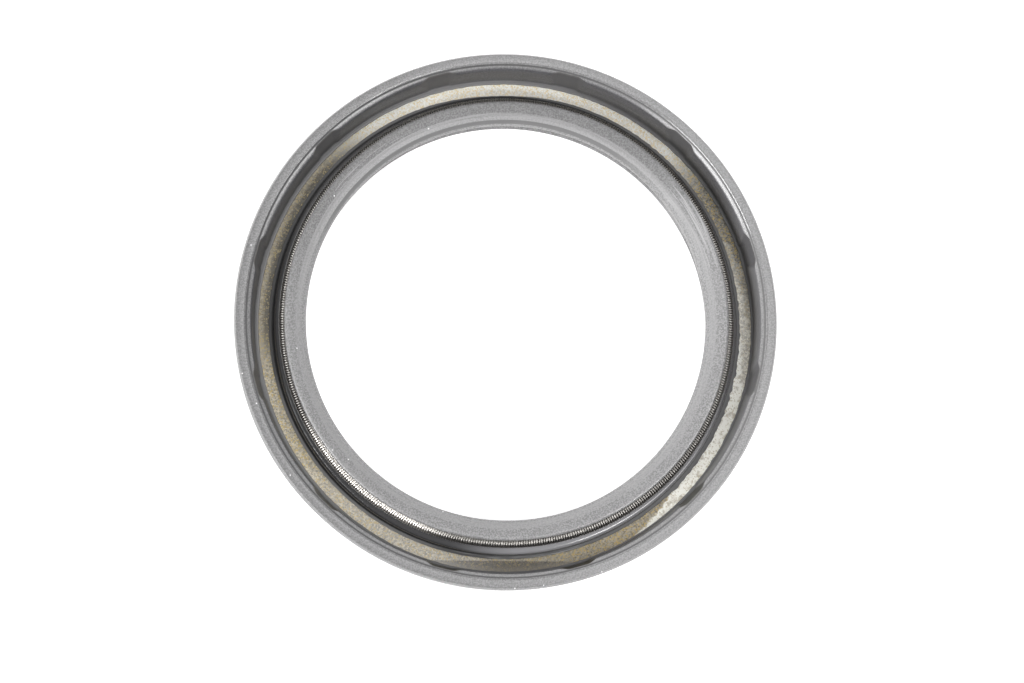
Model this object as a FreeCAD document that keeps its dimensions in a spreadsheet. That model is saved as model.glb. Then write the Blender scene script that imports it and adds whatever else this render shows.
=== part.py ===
import FreeCAD, Part
import os

import Sketcher

# Rubber-covered radial shaft seal with a spring-loaded sealing lip and a dust lip, in millimetres.
# The seal lies on its back face. Z is its axis, z = 0 is the back face, and the spring side is up.

os.makedirs("parts", exist_ok=True)
doc = FreeCAD.newDocument("ShaftSeal")

# Driving sizes: alias, value, meaning.
SIZES = [
    ("ShaftDiameter", 60.0, "shaft that the lip runs on"),
    ("RadialSection", 10.0, "from the shaft to the housing bore"),
    ("SealWidth", 8.0, "overall height along the axis"),
    ("CoverThickness", 0.9, "rubber outside the case"),
    ("TopCover", 0.8, "rubber above the case's rim"),
    ("BackCover", 0.85, "rubber under the case's web"),
    ("TopChamferWidth", 0.35, "outer chamfer at the rim, radial"),
    ("TopChamferHeight", 0.7, "outer chamfer at the rim, axial"),
    ("LeadHeight", 0.9, "press-in taper at the back, axial"),
    ("LeadAngle", 20.0, "press-in taper at the back, degrees from the axis"),
    ("CaseThickness", 0.9, "sheet of the pressed case"),
    ("BendRadius", 0.4, "inside radius of the case's bend"),
    ("WebBite", 0.85, "web's reach into the foot of the arm"),
    ("WallFilm", 0.15, "rubber left on the case in a locating groove"),
    ("PadThickness", 0.55, "pads between the grooves, over the film"),
    ("RimSetback", 0.76, "rim's inner edge behind the pads' face"),
    ("RimStep", 0.16, "radial width of the step under the rim"),
    ("StepDepth", 0.4, "foot of that step below the rim"),
    ("LedgeDepth", 0.8, "pads' top edge below the rim"),
    ("GrooveCount", 12, "locating grooves in the inner wall"),
    ("GrooveStart", 15.0, "angle of the first groove, degrees"),
    ("GrooveFloorWidth", 3.3, "groove's width at the top of its floor"),
    ("GrooveSplay", 66.0, "groove's sides, degrees from its middle line"),
    ("GrooveDraft", 4.0, "groove's taper towards its foot, degrees"),
    ("FootFilm", 0.2, "rubber lapping onto the web on each side"),
    ("FootRing", 0.5, "lap beside the inner wall"),
    ("BandWidth", 1.6, "bare band of the web"),
    ("LipInterference", 0.3, "lip's radius under the shaft's"),
    ("LipLand", 0.25, "height of the sealing edge"),
    ("EdgeDepth", 3.05, "top of the sealing edge below the rim"),
    ("SteepReach", 0.55, "steep lower part of the front face, radial"),
    ("SteepRise", 0.85, "steep lower part of the front face, axial"),
    ("HeadWidth", 3.1, "lip's head from the edge outwards"),
    ("HeadRecess", 0.95, "head's outer edge below the rim"),
    ("FlankAngle", 28.5, "air-side flank, degrees from the axis"),
    ("FlankHeight", 1.75, "air-side flank, axial"),
    ("ThroatReach", 2.6, "throat behind the sealing edge, radial"),
    ("ThroatFall", 0.6, "from the flank's end to the throat, axial"),
    ("SpringCoil", 1.8, "outside diameter of the spring's coil"),
    ("SpringClearance", 0.05, "spring to its seat"),
    ("HeadCore", 2.3, "rubber between the edge and the spring's seat"),
    ("SpringDepth", 3.1, "spring's centre below the rim"),
    ("NoseReach", 0.8, "seat's lower nose beyond the spring's centre"),
    ("NoseDrop", 0.48, "that nose below the spring's centre"),
    ("NeckSetback", 0.25, "seat's upper end inside the spring's centre"),
    ("ArmReach", 5.05, "foot of the arm's outer side behind the edge"),
    ("ArmTaper", 0.42, "arm's lean from its foot to the shoulder"),
    ("ShoulderDepth", 3.75, "arm's shoulder below the rim"),
    ("DustClearance", 0.4, "dust lip to the shaft"),
    ("DustTipHeight", 0.45, "underside of the dust lip's tip"),
    ("DustTipThickness", 0.3, "dust lip at its tip"),
    ("DustRootHeight", 1.35, "top of the dust lip at the throat"),
    ("BackReach", 2.5, "back face's inner edge behind the dust lip"),
    ("BackRise", 0.3, "bevel from the back face to the dust lip"),
    ("RimRound", 0.15, "rounding of the rim's inner edge"),
    ("LedgeRound", 0.45, "rounding of the pads' top edge"),
    ("FootRound", 0.2, "fillet at the foot of the inner wall"),
    ("ShoulderRound", 0.25, "rounding of the arm's shoulder"),
    ("HeadRound", 0.12, "rounding of the head's outer edge"),
    ("FlankRound", 0.5, "rounding at the flank's end"),
    ("ThroatRound", 0.35, "fillets of the throat"),
]

sheet = doc.addObject("Spreadsheet::Sheet", "Sizes")
for row, (alias, value, meaning) in enumerate(SIZES, start=1):
    sheet.set(f"A{row}", meaning)
    sheet.set(f"B{row}", str(value))
    sheet.setAlias(f"B{row}", alias)
doc.recompute()

# Radii and heights that several pieces share, as expressions of the sheet.
OUTER = "(Sizes.ShaftDiameter / 2 + Sizes.RadialSection)"
CASE_OUTER = f"({OUTER} - Sizes.CoverThickness)"
CASE_INNER = f"({CASE_OUTER} - Sizes.CaseThickness)"
FILM_FACE = f"({CASE_INNER} - Sizes.WallFilm)"
WALL = f"({FILM_FACE} - Sizes.PadThickness)"
RIM_INNER = f"({WALL} + Sizes.RimSetback)"
LIP = "(Sizes.ShaftDiameter / 2 - Sizes.LipInterference)"
DUST = "(Sizes.ShaftDiameter / 2 + Sizes.DustClearance)"
ARM_FOOT = f"({LIP} + Sizes.ArmReach)"
SPRING_RADIUS = f"({LIP} + Sizes.HeadCore + Sizes.SpringClearance + Sizes.SpringCoil / 2)"

WEB_TOP = "(Sizes.BackCover + Sizes.CaseThickness)"
FOOT_TOP = f"({WEB_TOP} + Sizes.FootFilm)"
STEP_FOOT = "(Sizes.SealWidth - Sizes.StepDepth)"
SPRING_HEIGHT = "(Sizes.SealWidth - Sizes.SpringDepth)"
EDGE_TOP = "(Sizes.SealWidth - Sizes.EdgeDepth)"
EDGE_FOOT = f"({EDGE_TOP} - Sizes.LipLand)"
FLANK_END = f"({EDGE_FOOT} - Sizes.FlankHeight)"


def value(expression):
    """Number that an expression of the sheet gives."""
    found = sheet.evalExpression(expression)
    return float(getattr(found, "Value", found))


def origin_plane(body, role):
    """One of a body's own origin planes."""
    return next(f for f in body.Origin.OriginFeatures if f.Role == role)


def add_sketch(body, name, role):
    """Empty sketch on one of the body's origin planes."""
    sketch = body.newObject("Sketcher::SketchObject", name)
    sketch.AttachmentSupport = [(origin_plane(body, role), "")]
    sketch.MapMode = "FlatFace"
    return sketch


def bind(sketch, kind, name, expression, *points):
    """Named distance whose size is an expression of the sheet."""
    sketch.addConstraint(Sketcher.Constraint(kind, *points, value(expression)))
    sketch.renameConstraint(sketch.ConstraintCount - 1, name)
    sketch.setExpression(f"Constraints.{name}", expression)


def outline(sketch, corners):
    """Closed outline through named corners, each held by its two coordinates and rounded if it has a radius."""
    places = [FreeCAD.Vector(value(corner[1]), value(corner[2]), 0) for corner in corners]
    count = len(places)
    for i in range(count):
        sketch.addGeometry(Part.LineSegment(places[i], places[(i + 1) % count]), False)
    for i in range(count):
        sketch.addConstraint(Sketcher.Constraint("Coincident", i, 2, (i + 1) % count, 1))
    for i, (name, x, y, *_) in enumerate(corners):
        bind(sketch, "DistanceX", f"{name}_x", x, -1, 1, i, 1)
        if y == "0":
            sketch.addConstraint(Sketcher.Constraint("PointOnObject", i, 1, -1))
        else:
            bind(sketch, "DistanceY", f"{name}_y", y, -1, 1, i, 1)
    for i, (name, _, _, *radius) in enumerate(corners):
        if radius:
            round_corner(sketch, i, name, radius[0])


def round_corner(sketch, line, name, radius):
    """Arc in place of the corner where a line starts, tangent to its two lines, whose corner point is kept."""
    before = sketch.GeometryCount
    sketch.fillet(line, 1, value(radius), True, True)
    added = range(before, sketch.GeometryCount)
    arc = next(i for i in added if isinstance(sketch.Geometry[i], Part.ArcOfCircle))
    bind(sketch, "Radius", f"{name}_round", radius, arc)


def revolve(body, name, sketch, kind="PartDesign::Revolution"):
    """Full turn of a section about the seal's axis, as a solid or as a cut."""
    feature = body.newObject(kind, name)
    feature.Profile = sketch
    feature.ReferenceAxis = (sketch, ["V_Axis"])
    feature.Angle = 360
    sketch.Visibility = False
    doc.recompute()
    return feature


def add_body(name, label):
    """Body with the label that its node takes."""
    body = doc.addObject("PartDesign::Body", name)
    body.Label = label
    return body


def make_case():
    """Pressed steel case: a cylinder and an inward web of one sheet, with a rounded bend."""
    body = add_body("Case", "metal_case")
    section = add_sketch(body, "CaseSection", "XZ_Plane")
    top = "(Sizes.SealWidth - Sizes.TopCover)"
    web_end = f"({ARM_FOOT} - Sizes.WebBite)"
    outline(section, [
        ("web_end_low", web_end, "Sizes.BackCover"),
        ("bend_out", CASE_OUTER, "Sizes.BackCover", "(Sizes.BendRadius + Sizes.CaseThickness)"),
        ("rim_out", CASE_OUTER, top),
        ("rim_in", CASE_INNER, top),
        ("bend_in", CASE_INNER, WEB_TOP, "Sizes.BendRadius"),
        ("web_end_high", web_end, WEB_TOP),
    ])
    revolve(body, "CaseRing", section)
    return body


def make_moulding():
    """The rubber as the mould forms it, still solid where the case lies."""
    body = add_body("Moulding", "rubber_moulding")
    section = add_sketch(body, "MouldingSection", "XZ_Plane")
    chamfer_foot = "(Sizes.SealWidth - Sizes.TopChamferHeight)"
    chamfer_top = f"({OUTER} - Sizes.TopChamferWidth)"
    lead = f"({OUTER} - Sizes.LeadHeight * tan(Sizes.LeadAngle * 1 deg))"
    shoulder = (f"({ARM_FOOT} - Sizes.ArmTaper)", "(Sizes.SealWidth - Sizes.ShoulderDepth)")
    nose = (f"({SPRING_RADIUS} + Sizes.NoseReach)", f"({SPRING_HEIGHT} - Sizes.NoseDrop)")
    seat_top = f"({SPRING_HEIGHT} + Sizes.SpringCoil / 2 + 2 * Sizes.SpringClearance)"
    neck = (f"({SPRING_RADIUS} - Sizes.NeckSetback)", seat_top)
    head = (f"({LIP} + Sizes.HeadWidth)", "(Sizes.SealWidth - Sizes.HeadRecess)")
    front_break = (f"({LIP} + Sizes.SteepReach)", f"({EDGE_TOP} + Sizes.SteepRise)")
    flank = (f"({LIP} + Sizes.FlankHeight * tan(Sizes.FlankAngle * 1 deg))", FLANK_END)
    throat_radius = f"({LIP} + Sizes.ThroatReach)"
    throat_top = (throat_radius, f"({FLANK_END} - Sizes.ThroatFall)")
    throat_foot = (throat_radius, "Sizes.DustRootHeight")
    back_edge = f"({DUST} + Sizes.BackReach)"
    outline(section, [
        ("back_out", lead, "0"),
        ("lead_end", OUTER, "Sizes.LeadHeight"),
        ("chamfer_foot", OUTER, chamfer_foot),
        ("chamfer_top", chamfer_top, "Sizes.SealWidth"),
        ("rim_in", RIM_INNER, "Sizes.SealWidth", "Sizes.RimRound"),
        ("step_foot", f"({RIM_INNER} - Sizes.RimStep)", STEP_FOOT),
        ("ledge", WALL, "(Sizes.SealWidth - Sizes.LedgeDepth)", "Sizes.LedgeRound"),
        ("wall_foot", WALL, FOOT_TOP, "Sizes.FootRound"),
        ("arm_foot", ARM_FOOT, FOOT_TOP),
        ("shoulder", *shoulder, "Sizes.ShoulderRound"),
        ("nose", *nose),
        ("neck", *neck),
        ("head", *head, "Sizes.HeadRound"),
        ("front_break", *front_break),
        ("edge_top", LIP, EDGE_TOP),
        ("edge_foot", LIP, EDGE_FOOT),
        ("flank", *flank, "Sizes.FlankRound"),
        ("throat_top", *throat_top, "Sizes.ThroatRound"),
        ("throat_foot", *throat_foot, "Sizes.ThroatRound"),
        ("dust_high", DUST, "(Sizes.DustTipHeight + Sizes.DustTipThickness)"),
        ("dust_low", DUST, "Sizes.DustTipHeight"),
        ("bevel", f"({back_edge} - Sizes.BackRise)", "Sizes.BackRise"),
        ("back_in", back_edge, "0"),
    ])
    revolve(body, "MouldingRing", section)
    cut_spring_seat(body)
    cut_bare_band(body)
    cut_locating_grooves(body)
    return body


def cut_checked(feature, base):
    """Fails where a cut took nothing away, as one that points out of the solid does."""
    doc.recompute()
    assert feature.Shape.Volume < base.Shape.Volume - 1e-3, f"{feature.Name} cuts nothing"


def cut_spring_seat(body):
    """Round seat behind the lip's head, open outwards, one clearance wider than the coil."""
    base = body.Tip
    section = add_sketch(body, "SeatSection", "XZ_Plane")
    radius = "(Sizes.SpringCoil / 2 + Sizes.SpringClearance)"
    centre = FreeCAD.Vector(value(SPRING_RADIUS), value(SPRING_HEIGHT), 0)
    up = FreeCAD.Vector(0, 0, 1)
    section.addGeometry(Part.Circle(centre, up, value(radius)), False)
    bind(section, "DistanceX", "seat_x", SPRING_RADIUS, -1, 1, 0, 3)
    bind(section, "DistanceY", "seat_y", SPRING_HEIGHT, -1, 1, 0, 3)
    bind(section, "Radius", "seat_radius", radius, 0)
    cut_checked(revolve(body, "SpringSeat", section, "PartDesign::Groove"), base)


def cut_bare_band(body):
    """Ring where the mould presses on the web, so that the two thin laps beside it end on bare metal."""
    base = body.Tip
    section = add_sketch(body, "BandSection", "XZ_Plane")
    outer = f"({WALL} - Sizes.FootRing)"
    inner = f"({outer} - Sizes.BandWidth)"
    low = "(Sizes.BackCover + Sizes.CaseThickness / 2)"
    high = f"({FOOT_TOP} + Sizes.FootFilm)"
    outline(section, [
        ("inner_low", inner, low),
        ("outer_low", outer, low),
        ("outer_high", outer, high),
        ("inner_high", inner, high),
    ])
    cut_checked(revolve(body, "BareBand", section, "PartDesign::Groove"), base)


def cut_locating_grooves(body):
    """Splayed grooves of the mould's locating ribs, which taper out down the inner wall between its pads.

    The plan reaches inwards past the pads' face, also where the taper has narrowed it.
    """
    base = body.Tip
    plan = add_sketch(body, "GroovePlan", "XY_Plane")
    plan.setExpression("AttachmentOffset.Base.z", STEP_FOOT)
    plan.setExpression("AttachmentOffset.Rotation.Angle", "Sizes.GrooveStart")
    floor_half = "(Sizes.GrooveFloorWidth / 2)"
    floor = f"sqrt({FILM_FACE} * {FILM_FACE} - {floor_half} * {floor_half})"
    inside = f"({WALL} - 2 * Sizes.FootRing)"
    inside_half = f"({floor_half} + ({floor} - {inside}) * tan(Sizes.GrooveSplay * 1 deg))"
    outline(plan, [
        ("inside_right", inside, f"-{inside_half}"),
        ("floor_right", floor, f"-{floor_half}"),
        ("floor_left", floor, floor_half),
        ("inside_left", inside, inside_half),
    ])
    groove = body.newObject("PartDesign::Pocket", "LocatingGroove")
    groove.Profile = plan
    groove.Type = 0
    groove.setExpression("Length", f"{STEP_FOOT} - {FOOT_TOP}")
    groove.setExpression("TaperAngle", "-Sizes.GrooveDraft")
    plan.Visibility = False
    cut_checked(groove, base)
    pattern = body.newObject("PartDesign::PolarPattern", "LocatingGrooves")
    pattern.Originals = [groove]
    pattern.Axis = (plan, ["N_Axis"])
    pattern.Angle = 360
    pattern.setExpression("Occurrences", "Sizes.GrooveCount")
    body.Tip = pattern
    cut_checked(pattern, groove)


def make_rubber(case, moulding):
    """The moulded rubber, which meets the case face to face wherever it covers it."""
    rubber = doc.addObject("Part::Cut", "Rubber")
    rubber.Base = moulding
    rubber.Tool = case
    rubber.Label = "rubber_body"
    cut_checked(rubber, moulding)
    return rubber


def make_spring():
    """Garter spring as the ring that its closed coil fills."""
    body = add_body("Spring", "garter_spring")
    section = add_sketch(body, "CoilSection", "XZ_Plane")
    centre = FreeCAD.Vector(value(SPRING_RADIUS), value(SPRING_HEIGHT), 0)
    up = FreeCAD.Vector(0, 0, 1)
    section.addGeometry(Part.Circle(centre, up, value("Sizes.SpringCoil / 2")), False)
    bind(section, "DistanceX", "coil_x", SPRING_RADIUS, -1, 1, 0, 3)
    bind(section, "DistanceY", "coil_y", SPRING_HEIGHT, -1, 1, 0, 3)
    bind(section, "Radius", "coil_radius", "Sizes.SpringCoil / 2", 0)
    revolve(body, "CoilRing", section)
    return body


case_body = make_case()
moulding_body = make_moulding()
rubber_body = make_rubber(case_body, moulding_body)
spring_body = make_spring()
doc.recompute()

for item in doc.Objects:
    assert not {"Invalid", "Error"} & set(item.State), f"{item.Label}: {item.State}"
for node in (case_body, rubber_body, spring_body):
    shape = node.Shape
    assert not shape.isNull() and shape.isValid() and len(shape.Solids) == 1, node.Label
    shape.exportStep(f"parts/{node.Label}.step")
    print(f"{node.Label}: {shape.Volume:.1f} mm3, {len(shape.Faces)} faces")
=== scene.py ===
# %% [markdown]
# # A radial shaft seal, in cells
#
# This lesson dresses a rubber-covered shaft seal that lies on its back face with its spring side up.
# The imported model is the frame: it holds the true sizes, and nothing here moves or resizes it.
# Every new surface is worked out with numpy as a function of two parameters, in millimetres, and
# scaled to metres once, when it becomes a mesh.

import bpy
import numpy as np
from mathutils import Matrix, Vector


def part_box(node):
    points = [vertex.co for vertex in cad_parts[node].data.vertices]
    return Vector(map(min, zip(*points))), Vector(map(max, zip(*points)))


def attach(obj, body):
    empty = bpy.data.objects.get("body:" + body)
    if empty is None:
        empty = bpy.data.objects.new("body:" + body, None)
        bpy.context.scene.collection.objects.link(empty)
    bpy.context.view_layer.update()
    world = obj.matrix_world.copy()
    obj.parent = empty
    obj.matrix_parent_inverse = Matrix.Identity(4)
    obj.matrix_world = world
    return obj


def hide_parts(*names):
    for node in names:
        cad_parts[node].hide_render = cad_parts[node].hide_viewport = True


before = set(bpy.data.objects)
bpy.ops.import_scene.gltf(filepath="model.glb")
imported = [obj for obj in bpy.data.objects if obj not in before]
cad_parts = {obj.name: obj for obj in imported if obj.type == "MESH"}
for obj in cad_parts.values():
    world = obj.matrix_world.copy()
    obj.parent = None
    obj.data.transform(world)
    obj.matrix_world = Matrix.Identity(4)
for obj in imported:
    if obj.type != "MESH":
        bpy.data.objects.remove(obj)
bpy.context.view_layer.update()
MM = 0.001
print("nodes:", sorted(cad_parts))

# %% [markdown]
# ## Sizes
#
# The frame already knows the large sizes: half the width of the rubber is its outer radius, its top is
# the rim, and the spring's box gives the radius of its ring, its height and the thickness of its coil.
# What a box can't tell, such as the slope of the lip, is a named value in millimetres.

# %% Read the driving sizes from the frame
rubber_low, rubber_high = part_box("rubber_body")
case_low, case_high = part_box("metal_case")
spring_low, spring_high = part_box("garter_spring")

OUTER = rubber_high.x / MM
RIM = rubber_high.z / MM
CASE_OUTER = case_high.x / MM
CASE_TOP = case_high.z / MM
WEB_LOW = case_low.z / MM
COIL = (spring_high.z - spring_low.z) / MM
SPRING_RADIUS = spring_high.x / MM - COIL / 2
SPRING_HEIGHT = (spring_high.z + spring_low.z) / 2 / MM
SHEET = 0.9
LINING = 0.7
CLEARANCE = 0.05
LIP_TO_SEAT = 2.3
CASE_INNER = CASE_OUTER - SHEET
WEB_TOP = WEB_LOW + SHEET
WALL = CASE_INNER - LINING
LIP = SPRING_RADIUS - COIL / 2 - CLEARANCE - LIP_TO_SEAT
print(f"outer radius {OUTER:.2f}, rim {RIM:.2f}, wall {WALL:.2f}, lip {LIP:.2f}, spring {SPRING_RADIUS:.2f}")

# %% [markdown]
# ## Surfaces from two parameters
#
# A turned or moulded ring is one closed section carried round an axis. Blender's Screw modifier could
# spin such a section, but then every turn is alike. Here the section's radius and height are arrays,
# the angle is a second array, and their grid gives every vertex at once, so a radius may also change
# with the angle, as it does at grooves and at a ragged edge.

# %% Turn a grid of points into a mesh
def grid_mesh(name, x, y, z, closed_rows=True):
    """Mesh of a grid of points in millimetres: row i and column j make a square with the next row and column.

    Columns always close on the first one. Rows do too when closed_rows is set; otherwise each end
    row is drawn in to one pole.
    """
    rows, columns = x.shape
    points = np.stack([x, y, z], axis=-1).reshape(-1, 3) * MM
    i = np.arange(rows if closed_rows else rows - 1)[:, None]
    j = np.arange(columns)[None, :]
    a = i * columns + j
    b = i * columns + (j + 1) % columns
    c = (i + 1) % rows * columns + (j + 1) % columns
    d = (i + 1) % rows * columns + j
    faces = np.stack([a, b, c, d], axis=-1).reshape(-1, 4)
    sizes = np.full(len(faces), 4)
    corners = faces.ravel()
    if not closed_rows:
        ends = np.stack([points[:columns].mean(0), points[-columns:].mean(0)])
        first, last = len(points), len(points) + 1
        points = np.concatenate([points, ends])
        ring = np.arange(columns)
        after = (ring + 1) % columns
        start = np.stack([np.full(columns, first), after, ring], axis=-1)
        top = (rows - 1) * columns
        stop = np.stack([np.full(columns, last), top + ring, top + after], axis=-1)
        corners = np.concatenate([corners, start.ravel(), stop.ravel()])
        sizes = np.concatenate([sizes, np.full(2 * columns, 3)])
    mesh = bpy.data.meshes.new(name)
    mesh.vertices.add(len(points))
    mesh.vertices.foreach_set("co", points.ravel())
    mesh.loops.add(len(corners))
    mesh.loops.foreach_set("vertex_index", corners)
    mesh.polygons.add(len(sizes))
    mesh.polygons.foreach_set("loop_start", np.concatenate([[0], np.cumsum(sizes)[:-1]]))
    mesh.polygons.foreach_set("use_smooth", np.ones(len(sizes), bool))
    mesh.update(calc_edges=True)
    assert not mesh.validate()
    piece = bpy.data.objects.new(name, mesh)
    bpy.context.scene.collection.objects.link(piece)
    print(name, len(points), "points,", len(sizes), "faces, volume", round(volume(piece), 1), "mm3")
    return piece


def volume(piece):
    """Volume in mm3: a sixth of the sum of corner triple products, positive if the faces look out."""
    mesh = piece.data
    mesh.calc_loop_triangles()
    index = np.empty(len(mesh.loop_triangles) * 3, np.int32)
    mesh.loop_triangles.foreach_get("vertices", index)
    place = np.empty(len(mesh.vertices) * 3)
    mesh.vertices.foreach_get("co", place)
    a, b, c = place.reshape(-1, 3)[index.reshape(-1, 3)].transpose(1, 0, 2) / MM
    return float(np.einsum("ij,ij->", a, np.cross(b, c)) / 6)


# %% [markdown]
# ## Rounded sections
#
# No edge of moulded rubber or pressed sheet is perfectly sharp, and it is the small roundings that catch
# the light as thin lines. A section is therefore a list of corners, each with its rounding, and one
# formula replaces every corner by an arc that is tangent to its two sides.

# %% Round the corners of a closed section
def rounded_section(corners):
    """Radius, height and corner number of each point of a closed section.

    A corner is (radius, height, rounding, samples, extra). Its arc starts rounding x tan(half the turn)
    before the corner, and its centre lies one rounding to the side that the section turns to; sample k
    of n is the arc's start turned by k / (n - 1) of the turn. Then come the extra points, evenly along
    the straight side up to the next arc, and they are numbered as the corner's number and a half.
    """
    place = np.array([corner[:2] for corner in corners], float)
    rounding = np.array([corner[2] for corner in corners], float)
    samples = np.array([corner[3] for corner in corners])
    extra = np.array([corner[4] for corner in corners])
    incoming = place - np.roll(place, 1, axis=0)
    incoming /= np.linalg.norm(incoming, axis=1, keepdims=True)
    outgoing = np.roll(incoming, -1, axis=0)
    cross = incoming[:, 0] * outgoing[:, 1] - incoming[:, 1] * outgoing[:, 0]
    turn = np.arctan2(cross, (incoming * outgoing).sum(axis=1))
    reach = (rounding * np.tan(np.abs(turn) / 2))[:, None]
    start, stop = place - incoming * reach, place + outgoing * reach
    side = np.stack([-incoming[:, 1], incoming[:, 0]], axis=1) * np.sign(turn)[:, None]
    centre = start + side * rounding[:, None]

    number = np.repeat(np.arange(len(corners)), samples)
    rank = np.arange(len(number)) - np.repeat(np.cumsum(samples) - samples, samples)
    share = np.where(samples[number] > 1, rank / np.maximum(samples[number] - 1, 1), 0.5)
    angle = (turn[number] * share)[:, None]
    arm = (start - centre)[number]
    beside = np.stack([-arm[:, 1], arm[:, 0]], axis=1)
    arcs = centre[number] + arm * np.cos(angle) + beside * np.sin(angle)

    side_number = np.repeat(np.arange(len(corners)), extra)
    side_rank = np.arange(len(side_number)) - np.repeat(np.cumsum(extra) - extra, extra)
    along = ((side_rank + 1) / (extra[side_number] + 1))[:, None]
    sides = stop[side_number] * (1 - along) + np.roll(start, -1, axis=0)[side_number] * along

    number = np.concatenate([number, side_number + 0.5])
    order = np.argsort(number, kind="stable")
    points = np.concatenate([arcs, sides])[order]
    return points[:, 0], points[:, 1], number[order]


# %% [markdown]
# ## The rubber moulding
#
# The rubber is one vulcanised piece that wraps the pressed case: outer cover, rim, inner wall, arm with
# the lip's head, and the dust lip. Its section is a single closed loop, because it opens only where the
# mould pressed on the bare web. The loop runs from the back face up the outside, over the rim and down
# into the trough, goes round the case inside, and comes back over the arm, the lip and the dust lip. A
# gap of a few thousandths of a millimetre keeps it off the steel, so that the two don't flicker.

# %% Corners of the rubber's section
GAP = 0.006
RIM_INNER = WALL + 0.95
STEP_WIDTH = 0.6
STEP_FOOT = RIM - 0.4
LEDGE_FOOT = RIM - 0.8
EDGE_TOP = RIM - 3.05
EDGE_FOOT = EDGE_TOP - 0.25
LAP = WEB_TOP + 0.2
LAP_OUTER = WALL - 0.5
LAP_INNER = LAP_OUTER - 1.6
ARM_FOOT = LIP + 5.05
SHOULDER = RIM - 3.72
WEB_END = ARM_FOOT - 0.85
SEAT = COIL / 2 + CLEARANCE
NOSE_OUT = 0.8
NOSE_DROP = 0.48

# Each corner: radius, height, rounding, points of its arc, further points along the side after it.
section = {
    "back_out": (OUTER - 0.33, 0.0, 0.08, 2, 0),
    "lead_end": (OUTER, 0.9, 0.3, 2, 0),
    "chamfer_foot": (OUTER, RIM - 0.7, 0.08, 2, 0),
    "chamfer_top": (OUTER - 0.35, RIM, 0.2, 4, 0),
    "rim_in": (RIM_INNER, RIM, 0.5, 6, 0),
    "step_foot": (WALL + STEP_WIDTH, STEP_FOOT, 0.04, 3, 3),
    "ledge": (WALL, LEDGE_FOOT, 0.8, 8, 7),
    "wall_foot": (WALL, LAP, 0.2, 4, 0),
    "lap_out_top": (LAP_OUTER, LAP, 0.06, 3, 0),
    "lap_out_foot": (LAP_OUTER, WEB_TOP + GAP, 0.0, 1, 0),
    "bend_in": (CASE_INNER - GAP, WEB_TOP + GAP, 0.4, 2, 0),
    "case_rim_in": (CASE_INNER - GAP, CASE_TOP + GAP, 0.0, 1, 0),
    "case_rim_out": (CASE_OUTER + GAP, CASE_TOP + GAP, 0.0, 1, 0),
    "bend_out": (CASE_OUTER + GAP, WEB_LOW - GAP, 1.3, 3, 0),
    "web_end_low": (WEB_END - GAP, WEB_LOW - GAP, 0.0, 1, 0),
    "web_end_high": (WEB_END - GAP, WEB_TOP + GAP, 0.0, 1, 0),
    "lap_in_foot": (LAP_INNER, WEB_TOP + GAP, 0.0, 1, 0),
    "lap_in_top": (LAP_INNER, LAP, 0.06, 3, 0),
    "arm_foot": (ARM_FOOT, LAP, 0.05, 3, 0),
    "shoulder": (ARM_FOOT - 0.42, SHOULDER, 0.6, 8, 0),
    "nose": (SPRING_RADIUS + NOSE_OUT, SPRING_HEIGHT - NOSE_DROP, 0.05, 3, 0),
    "neck": (SPRING_RADIUS - 0.25, SPRING_HEIGHT + SEAT + CLEARANCE, 0.04, 3, 0),
    "head": (LIP + 3.56, RIM - 0.78, 0.42, 9, 0),
    "front_break": (LIP + 0.55, EDGE_TOP + 0.85, 0.06, 3, 0),
    "edge_top": (LIP, EDGE_TOP, 0.03, 3, 0),
    "edge_foot": (LIP, EDGE_FOOT, 0.06, 3, 0),
    "flank": (LIP + 0.95, EDGE_FOOT - 1.75, 0.5, 4, 0),
    "throat_top": (LIP + 2.6, EDGE_FOOT - 2.35, 0.35, 3, 0),
    "throat_foot": (LIP + 2.6, 1.35, 0.35, 3, 0),
    "dust_high": (LIP + 0.7, 0.75, 0.06, 3, 0),
    "dust_low": (LIP + 0.7, 0.45, 0.06, 3, 0),
    "bevel": (LIP + 2.9, 0.3, 0.1, 2, 0),
    "back_in": (LIP + 3.2, 0.0, 0.1, 2, 0),
}
names = list(section)
radius, height, number = rounded_section(list(section.values()))

# The spring's seat is an arc about the spring's centre, from the nose inwards and up to just under the neck.
# Its points come before the neck's and have a number of their own, which no corner has.
SEAT_ROWS = -1.0
seat_angle = np.linspace(np.arctan2(-NOSE_DROP, NOSE_OUT), -1.5 * np.pi + 0.21, 10)
place = np.searchsorted(number, names.index("neck"))
radius = np.insert(radius, place, SPRING_RADIUS + SEAT * np.cos(seat_angle))
height = np.insert(height, place, SPRING_HEIGHT + SEAT * np.sin(seat_angle))
number = np.insert(number, place, np.full(len(seat_angle), SEAT_ROWS))
print(len(names), "corners give", len(radius), "section points")

# %% [markdown]
# Twelve splayed grooves run down the inner wall, where the mould's ribs centred the case. A rib tapers so
# that it can be drawn out, so the groove is deepest at the rim and fades out at its foot. Its floor and
# its two sides are planes, and a plane's radius at a given angle and height is one division. The wall is
# whichever lies further out, the pads' section or the groove, with a little rounding where they meet.
# The columns of the grid crowd together at the grooves' sides and spread out over the plain pads.

# %% Angles of the columns, and the radius of a groove
GROOVES = 12
PERIOD = 2 * np.pi / GROOVES
FIRST_GROOVE = np.radians(15.0)
FLOOR_HALF = 1.65
FLOOR_RADIUS = CASE_INNER - 0.15
SPLAY = np.tan(np.radians(66.0))
DRAFT = np.tan(np.radians(4.0))

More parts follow.
